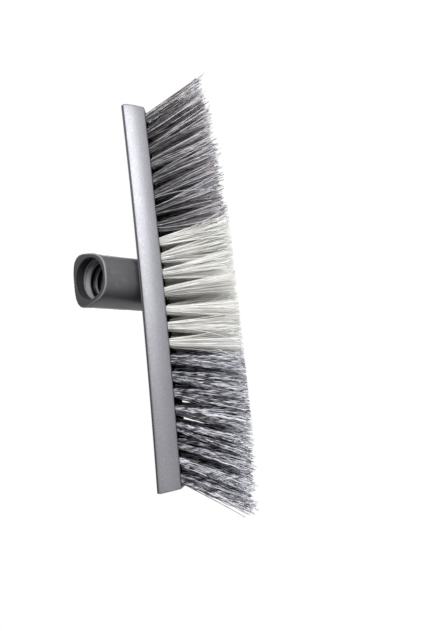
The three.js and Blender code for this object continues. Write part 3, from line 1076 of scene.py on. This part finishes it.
@dataclass(frozen=True)
class BristleField:
    """The bed of tuft holes under the block, and the tufts that fan out of it."""

    head: Head
    columns: int = 23
    rows: int = 5
    half_length: float = 104.5
    half_width: float = 21.9
    end_inset: float = 3.1
    stagger: float = 0.125
    side_inset: float = 3.4
    thickness: float = 2.0
    fan: float = math.radians(27)
    far_fan: float = math.radians(25)
    row_lean: float = math.radians(5)
    filaments: int = 58
    sides: int = 4
    radius: float = 0.24
    tip_radius: float = 0.19
    hole_radius: float = 2.75
    hole_depth: float = 1.5
    hole_edge: float = 0.2
    hole_sides: int = 20
    root_depth: float = 1.2
    root_spread: float = 2.45
    tip_spread: float = 5.2
    tip_scatter: float = 0.8
    clumps: int = 10
    clumping: float = 0.5
    clump_scatter: float = 1.1
    clump_uneven: float = 1.3
    tuft_scatter: float = 1.1
    uneven: float = 1.6
    tuft_uneven: float = 0.8
    painted_tip_light: float = 0.5
    painted_light_pivot: float = 0.25
    spread_power: float = 0.8
    stray_bend: float = 3.8
    wave_length: float = 9.0
    wave_rise: float = 6.0
    wave_phases: float = 6.28
    sharp: float = 80.0
    floor_gap: float = 0.15
    seed: int = 11

    def makes(self) -> list[TuftMake]:
        """The three groups, from one end of the head to the other."""
        return [
            TuftMake(
                Tufts.CRIMPED, GREY_CRIMPED, first=0, count=8, pieces=2,
                steps=18, wave=0.3, bend=0.9, stray_share=0.03, length=37.8,
            ),
            TuftMake(
                Tufts.WHITE, WHITE, first=8, count=7, pieces=1,
                steps=8, wave=0.0, bend=1.0, stray_share=0.05, length=36.9,
            ),
            TuftMake(
                Tufts.STRAIGHT, GREY_STRAIGHT, first=15, count=8, pieces=1,
                steps=8, wave=0.06, bend=1.3, stray_share=0.08, length=35.2,
            ),
        ]

    def axis(self, column: int, row: int) -> tuple[np.ndarray, np.ndarray]:
        """Where a tuft leaves the bed and which way it leans.

        Args:
            column: Its column, counted along X.
            row: Its row, counted along Y.

        Returns:
            The middle of its root, and a unit vector along it.
        """
        reach = self.half_length - self.end_inset
        middle = (self.columns - 1) / 2
        moved = column - middle + self.stagger * np.sign(column - middle) * (-1) ** row
        along = moved / (middle + self.stagger)
        across = 2 * row / (self.rows - 1) - 1
        x = along * reach
        y = across * (self.half_width - self.side_inset)
        fan = self.far_fan if along > 0 else self.fan
        direction = np.array([math.tan(fan * along), math.tan(self.row_lean * across), -1.0])
        return np.array([x, y, self.head.lift(x)]), direction / np.linalg.norm(direction)

    def _bed(self) -> None:
        """Make the black underside with a hole for each tuft."""
        body = Body()
        edge = self.hole_edge
        levels = [(edge, 0.0), (0.0, edge), (0.0, self.thickness)]
        rim = body.wall(
            [self.head.ring(self.half_length - inset, self.half_width - inset, z) for inset, z in levels]
        )
        angle = np.linspace(0, math.tau, self.hole_sides, endpoint=False)
        circle = np.stack([np.cos(angle), np.sin(angle), np.zeros_like(angle)], 1)
        mouths = [rim[0]]
        for column in range(self.columns):
            for row in range(self.rows):
                root, _ = self.axis(column, row)
                profile = [(self.hole_radius + edge, 0.0), (self.hole_radius, edge)]
                profile.append((self.hole_radius, self.hole_depth))
                hole = body.wall([root + r * circle + np.array([0, 0, z]) for r, z in profile])
                mouths.append(hole[0])
                body.fill(hole[-1])
        body.fill(*mouths)
        body.fill(rim[-1])
        dress(body.piece("tuft_bed", self.head), BLOCK_BLACK)

    def _tuft(
        self, column: int, row: int, make: TuftMake, random: np.random.Generator
    ) -> tuple[np.ndarray, np.ndarray]:
        """Lay the filaments of a tuft.

        Args:
            column: The tuft's column.
            row: The tuft's row.
            make: How its group is made.
            random: Source of its scatter.

        Returns:
            Points as filaments, rings, points of a ring, coordinates; and a shade for each of the rings,
            the strand's own tone plus painted light along it.
        """
        n = self.filaments
        root, direction = self.axis(column, row)
        disc = sunflower(n, random.uniform(0, math.tau))
        middles = sunflower(self.clumps)
        nearest = np.argmin(np.linalg.norm(disc[:, None] - middles, axis=2), 1)
        start = self.root_spread * disc
        drawn = disc + self.clumping * (middles[nearest] - disc)
        end = self.tip_spread * drawn + random.normal(0, self.tuft_scatter, 2)
        end += random.normal(0, self.clump_scatter, (self.clumps, 2))[nearest]
        end += random.normal(0, self.tip_scatter, (n, 2))
        bend = random.normal(0, make.bend, (n, 2))
        stray = random.random(n) < make.stray_share
        bend[stray] += random.normal(0, self.stray_bend, (stray.sum(), 2))
        lowest = -self.head.origin.z / MM + self.floor_gap
        length = make.length + random.normal(0, self.tuft_uneven) + random.normal(0, self.uneven, n)
        length += random.normal(0, self.clump_uneven, self.clumps)[nearest]
        length = np.minimum(length, (lowest - root[2]) / direction[2])
        t = np.linspace(0, 1, make.steps + 1)[None, :, None]
        swing = math.tau * t * make.length / self.wave_length
        swing = swing + random.uniform(0, self.wave_phases, (n, 1, 1))
        heading = random.uniform(0, math.tau, n)
        plane = np.stack([np.cos(heading), np.sin(heading)], 1)[:, None]
        wave = make.wave * np.sin(swing) * np.minimum(1, self.wave_rise * t) * plane
        spread = (end - start)[:, None] * t**self.spread_power
        aside = start[:, None] + spread + bend[:, None] * t**2 + wave
        path = root + direction * ((length[:, None, None] + self.root_depth) * t - self.root_depth)
        path[..., :2] += aside
        first = np.cross(direction, (0.0, 1.0, 0.0))
        first /= np.linalg.norm(first)
        second = np.cross(direction, first)
        angle = np.linspace(0, math.tau, self.sides, endpoint=False)
        ring = np.cos(angle)[:, None] * first + np.sin(angle)[:, None] * second
        thick = self.radius + (self.tip_radius - self.radius) * t
        # Each strand's random tone, darkened near the root as painted shade and lightened towards the
        # tip as painted light.
        shade = random.random(n)[:, None] + self.painted_tip_light * (t[..., 0] ** 2 - self.painted_light_pivot)
        return path[:, :, None] + thick[..., None] * ring, shade

    def _strands(self, make: TuftMake) -> None:
        """Make the pieces of a group of tufts.

        Args:
            make: How the group is made.
        """
        random = np.random.default_rng(self.seed + make.first)
        share = make.count // make.pieces
        for part in range(make.pieces):
            body = Body()
            shades = []
            for column in range(make.first + part * share, make.first + (part + 1) * share):
                for row in range(self.rows):
                    points, shade = self._tuft(column, row, make, random)
                    body.loft(points, capped=True)
                    shades.append(np.repeat(shade, self.sides))
            name = make.finish.name + (f"_{part + 1}" if make.pieces > 1 else "")
            piece = body.piece(name, self.head, self.sharp)
            carry(piece, "shade", np.concatenate(shades))
            dress(piece, make.finish, make.group.value)

    def build(self) -> None:
        """Make the bed and all the tufts."""
        self._bed()
        for make in self.makes():
            self._strands(make)


@dataclass(frozen=True)
class Lamp:
    """One rectangular soft lamp, in mm and watts, placed from the middle of the head."""

    name: str
    place: Triple
    width: float
    height: float
    power: float

    def hang(self, middle: Vector) -> None:
        """Hang the lamp so that it faces the middle of the head.

        Args:
            middle: The middle of the head, in metres.
        """
        light = bpy.data.lights.new(self.name, "AREA")
        light.shape = "RECTANGLE"
        light.size = self.width * MM
        light.size_y = self.height * MM
        light.energy = self.power
        lamp = bpy.data.objects.new(self.name, light)
        place = Vector(self.place)
        lamp.location = place * MM + middle
        lamp.rotation_euler = (-place).to_track_quat("-Z", "Y").to_euler()
        lamp.visible_camera = False
        bpy.context.scene.collection.objects.link(lamp)


@dataclass(frozen=True)
class Studio:
    """White studio: a pale floor, a tall soft lamp in front, a square one behind, and a camera."""

    head: Head
    floor_half: float = 3000.0
    floor_drop: float = 300.0
    floor_tone: Colour = (0.72, 0.72, 0.72)
    floor_glow: float = 0.75
    floor_near: float = 210.0
    floor_reach: float = 420.0
    ambient: float = 0.22
    key: Lamp = Lamp("key", (230.0, -450.0, -130.0), 250.0, 480.0, 3.4)
    fill: Lamp = Lamp("fill", (110.0, 470.0, 240.0), 400.0, 400.0, 3.2)
    camera_place: Triple = (-77.1, -429.4, -42.36)
    camera_tilt: Triple = (-8.486, -2.586, 6.484)
    focal_length: float = 43.36

    def _white_rays(self, shader: Shader) -> Wire:
        """One for the rays that see the white background, nought for those that light the object."""
        path = shader.node("LightPath")
        return path["Is Camera Ray"] + path["Is Glossy Ray"] + path["Is Transmission Ray"]

    def _world(self) -> None:
        """Even light from all round, on a background that looks white."""
        world = bpy.data.worlds.new("studio")
        world.use_nodes = True
        bpy.context.scene.world = world
        shader = Shader(world.node_tree)
        strength = self.ambient + (1 - self.ambient) * self._white_rays(shader)
        sky = shader.node("Background", inputs={"Color": PURE_WHITE, "Strength": strength})
        shader.node("OutputWorld", inputs={"Surface": sky["Background"]})

    def _floor(self) -> None:
        """The pale floor under the brush, which is held above it."""
        half = self.floor_half * MM
        mesh = bpy.data.meshes.new("floor")
        corners = [(-half, -half, 0), (half, -half, 0), (half, half, 0), (-half, half, 0)]
        mesh.from_pydata(corners, [], [(0, 1, 2, 3)])
        floor = bpy.data.objects.new("floor", mesh)
        floor.location.z = -self.floor_drop * MM
        bpy.context.scene.collection.objects.link(floor)
        made = bpy.data.materials.new("pale_floor")
        made.use_nodes = True
        shader = Shader(made.node_tree)
        matte = shader.node("BsdfDiffuse", inputs={"Color": self.floor_tone})["BSDF"]
        away = shader.node("VectorMath", {"operation": "LENGTH"}, {"Vector": shader.place()})["Value"]
        limits = {"From Min": self.floor_near * MM, "From Max": self.floor_reach * MM}
        faded = shader.node("MapRange", inputs={"Value": away, **limits})["Result"]
        strength = (self.floor_glow + (1 - self.floor_glow) * faded) * self._white_rays(shader)
        glow = shader.node("Emission", inputs={"Color": PURE_WHITE, "Strength": strength})
        both = shader.node("AddShader", inputs={0: matte, 1: glow["Emission"]})
        shader.node("OutputMaterial", inputs={"Surface": both["Shader"]})
        mesh.materials.append(made)

    def _camera(self) -> None:
        """The camera, turned on its side so that the head stands upright in the picture."""
        lens = bpy.data.cameras.new("camera")
        lens.lens = self.focal_length
        sideways = Matrix(((0, 1, 0), (0, 0, -1), (-1, 0, 0)))
        tilt = Euler([math.radians(a) for a in self.camera_tilt]).to_matrix()
        turned = (sideways @ tilt.transposed()).to_4x4()
        camera = bpy.data.objects.new("camera", lens)
        place = Vector(self.camera_place) * MM + self.head.origin
        camera.matrix_world = Matrix.Translation(place) @ turned
        bpy.context.scene.collection.objects.link(camera)
        bpy.context.scene.camera = camera

    def build(self) -> None:
        """Set up the floor, the light and the camera."""
        bpy.context.scene.view_settings.view_transform = "Standard"
        self._world()
        self._floor()
        self.key.hang(self.head.origin)
        self.fill.hang(self.head.origin)
        self._camera()


def main() -> None:
    """Dress the brush head piece by piece and set up the studio round it."""
    logging.basicConfig(level=logging.INFO, format="%(message)s")
    head = Head.from_frame()
    socket = HandleSocket(head)
    screws = PlateScrews(head)
    Studio(head).build()
    SideBand(head).build()
    socket.build()
    screws.build()
    BackPlate(head, socket, screws).build()
    BristleField(head).build()
    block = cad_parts["bristle_block"]
    block.material_slots[0].material = BLOCK_BLACK.material()
    log.info("bristle_block: packed solid in %s", BLOCK_BLACK.name)


if __name__ == "__main__":
    main()
